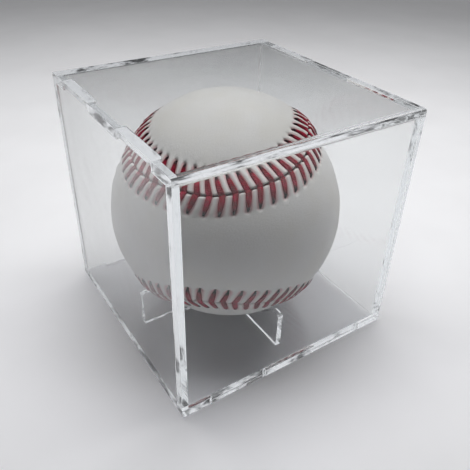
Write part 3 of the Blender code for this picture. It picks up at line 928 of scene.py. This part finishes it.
def laced_seam(seam, finish):
    """The whole thread: its run in the seam and two legs for each stitch."""
    bm = bmesh.new()
    keys = ("thread_along", "thread_round", "thread_end")
    attributes = [bm.verts.layers.float.new(key) for key in keys]
    thread_core(bm, seam)
    inside = []
    for stitch in range(seam.ball.stitches):
        apex = (stitch + seam.ball.first_stitch) * seam.pitch
        for hand in (1, -1):
            inside += add_leg(bm, seam, apex + hand_shift(stitch, hand), hand, attributes)
    bmesh.ops.delete(bm, geom=inside, context="FACES_ONLY")
    bmesh.ops.transform(bm, matrix=seam.placed(), verts=bm.verts)
    mesh = bmesh_to_mesh("laced_seam", bm)
    mesh.shade_smooth()
    return link_mesh("laced_seam", mesh, finish)


# Operators


def keep_piece(piece, body, node):
    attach(piece, body)
    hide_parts(node)


class DISPLAYCUBE_OT_clear_halves(bpy.types.Operator):
    """Models the two clear halves with their tabs, notches and cradle fins"""

    bl_idname = "display_cube.clear_halves"
    bl_label = "Clear Halves"

    def execute(self, context):
        case = context.scene.display_cube_case
        finish = clear_polystyrene(case)
        cuts = [notch_blocks(case), crest_blocks(case), wall_end_blocks(case)]
        base = moulded_half("clear_base", case, finish, [cradle_fins(case)], cuts, Matrix())
        turned = Euler((math.pi, 0, math.pi / 2)).to_matrix().to_4x4()
        turned = Matrix.Translation((0, 0, case.height)) @ turned
        cuts = [notch_blocks(case), crest_blocks(case)]
        cover = moulded_half("clear_cover", case, finish, [], cuts, turned)
        keep_piece(base, "base", "base_half")
        keep_piece(cover, "cover", "cover_half")
        return {"FINISHED"}


class DISPLAYCUBE_OT_leather_cover(bpy.types.Operator):
    """Models the ball's two leather panels, puckered along the seam"""

    bl_idname = "display_cube.leather_cover"
    bl_label = "Leather Cover"

    def execute(self, context):
        ball = context.scene.display_cube_ball
        seam = Seam(ball)
        finish = white_leather(ball)
        for name, node, hand in (
            ("leather_cover_upper", "leather_panel_upper", 1),
            ("leather_cover_lower", "leather_panel_lower", -1),
        ):
            panel = leather_panel(name, seam, finish, hand)
            keep_piece(panel, "ball", node)
        return {"FINISHED"}


class DISPLAYCUBE_OT_laced_seam(bpy.types.Operator):
    """Laces the seam with doubled red thread"""

    bl_idname = "display_cube.laced_seam"
    bl_label = "Laced Seam"

    def execute(self, context):
        ball = context.scene.display_cube_ball
        thread = laced_seam(Seam(ball), waxed_thread(ball))
        keep_piece(thread, "ball", "seam_thread")
        return {"FINISHED"}


class DISPLAYCUBE_OT_inner_layers(bpy.types.Operator):
    """Finishes the windings, rubber and cork inside the ball"""

    bl_idname = "display_cube.inner_layers"
    bl_label = "Inner Layers"

    def execute(self, context):
        grey = wound_yarn("grey_wool_yarn_wound", 0.0014, "#77787b", "#3a3b3e", 0.6)
        white = wound_yarn("white_wool_yarn_wound", 0.0013, "#e9e4d6", "#a39c8a", 0.6)
        cotton = wound_yarn("cotton_yarn_wound", 0.0006, "#eeebdf", "#b3ae9e", 0.3)
        red = moulded_rubber("red_rubber_moulded", "#8c2b26")
        black = moulded_rubber("black_rubber_moulded", "#1d1d1e")
        finishes = {
            "cotton_winding": cotton,
            "outer_grey_wool_winding": grey,
            "white_wool_winding": white,
            "inner_grey_wool_winding": grey,
            "red_rubber_layer": red,
            "black_rubber_shell_upper": black,
            "black_rubber_shell_lower": black,
            "shell_gasket": red,
            "cork_core": composition_cork(),
        }
        for name, finish in finishes.items():
            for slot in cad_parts[name].material_slots:
                slot.material = finish
        return {"FINISHED"}


class DISPLAYCUBE_OT_studio(bpy.types.Operator):
    """Sets the pale floor, the soft lamps and the camera"""

    bl_idname = "display_cube.studio"
    bl_label = "Studio"

    def execute(self, context):
        studio = context.scene.display_cube_studio
        self.lay_floor(studio)
        self.light_set(context, studio)
        self.set_camera(context, studio)
        context.scene.view_settings.view_transform = "Standard"
        return {"FINISHED"}

    def lay_floor(self, studio):
        bm = bmesh.new()
        # A hair of air stays under the case, so that light turns back inside its floor plate
        under = Matrix.Translation((0, 0, -studio.floor_gap))
        bmesh.ops.create_grid(bm, x_segments=1, y_segments=1, size=studio.floor_size / 2, matrix=under)
        link_mesh("studio_floor", bmesh_to_mesh("studio_floor", bm), pale_board(studio))

    def light_set(self, context, studio):
        world = bpy.data.worlds.new("studio_air")
        world.use_nodes = True
        tree = world.node_tree
        tree.nodes.clear()
        view = add_node(tree, "TexCoord")
        height = (add_node(tree, "SeparateXYZ", {"Vector": (view, "Generated")}), "Z")
        # The backdrop ends 6 degrees up, the dim room follows, the lit ceiling starts at 30 degrees
        dim = (height, (0.10, 0.24), studio.room_colour)
        lit = (height, (0.50, 0.68), studio.ceiling_colour)
        shown = layered(tree, studio.backdrop_colour, dim, lit)
        seen = (seen_rays(tree), "Value")
        air = add_node(tree, "Mix", [seen, studio.air_colour, shown], **COLOURS)
        # The camera itself sees only the backdrop behind the set
        direct = (add_node(tree, "LightPath"), "Is Camera Ray")
        air = add_node(tree, "Mix", [direct, (air, 2), studio.backdrop_colour], **COLOURS)
        background = add_node(tree, "Background", {"Color": (air, 2)})
        add_node(tree, "OutputWorld", {"Surface": (background, "Background")})
        context.scene.world = world
        lamp = bpy.data.lights.new("soft_box", "AREA")
        lamp.shape = "RECTANGLE"
        lamp.size = studio.lamp_width
        lamp.size_y = studio.lamp_depth
        lamp.energy = studio.lamp_power
        box = bpy.data.objects.new("soft_box", lamp)
        box.location = studio.lamp_place
        box.rotation_euler = (0, 0, studio.camera_turn[2])
        # The lid would otherwise mirror the lamp in views from above
        box.visible_glossy = False
        box.visible_transmission = False
        context.scene.collection.objects.link(box)

    def set_camera(self, context, studio):
        data = bpy.data.cameras.new("studio_camera")
        data.sensor_width = 36
        data.lens = studio.lens
        data.clip_start = 0.005
        camera = bpy.data.objects.new("studio_camera", data)
        camera.location = studio.camera_place
        camera.rotation_euler = studio.camera_turn
        context.scene.collection.objects.link(camera)
        context.scene.camera = camera


class DISPLAYCUBE_PT_panel(bpy.types.Panel):
    """Sizes, colours and pieces of the display cube"""

    bl_idname = "DISPLAYCUBE_PT_panel"
    bl_label = "Display Cube"
    bl_space_type = "VIEW_3D"
    bl_region_type = "UI"
    bl_category = "Display Cube"

    def draw(self, context):
        layout = self.layout
        for label, key, _, operators in GROUPS:
            box = layout.box()
            box.label(text=label)
            settings = getattr(context.scene, key)
            for name in settings.__annotations__:
                box.prop(settings, name)
            for operator in operators:
                box.operator(operator.bl_idname)


GROUPS = (
    ("Clear case", "display_cube_case", ClearCaseSettings, (DISPLAYCUBE_OT_clear_halves,)),
    (
        "Leather ball",
        "display_cube_ball",
        LeatherBallSettings,
        (DISPLAYCUBE_OT_leather_cover, DISPLAYCUBE_OT_laced_seam, DISPLAYCUBE_OT_inner_layers),
    ),
    ("Studio", "display_cube_studio", StudioSettings, (DISPLAYCUBE_OT_studio,)),
)
CLASSES = [item for _, _, settings, operators in GROUPS for item in (settings, *operators)]
CLASSES.append(DISPLAYCUBE_PT_panel)


def register():
    for item in CLASSES:
        bpy.utils.register_class(item)
    for _, key, settings, _ in GROUPS:
        setattr(bpy.types.Scene, key, PointerProperty(type=settings))


def unregister():
    for _, key, _, _ in GROUPS:
        delattr(bpy.types.Scene, key)
    for item in reversed(CLASSES):
        bpy.utils.unregister_class(item)


def main():
    register()
    bpy.ops.display_cube.clear_halves()
    bpy.ops.display_cube.leather_cover()
    bpy.ops.display_cube.laced_seam()
    bpy.ops.display_cube.inner_layers()
    bpy.ops.display_cube.studio()


if __name__ == "__main__":
    main()
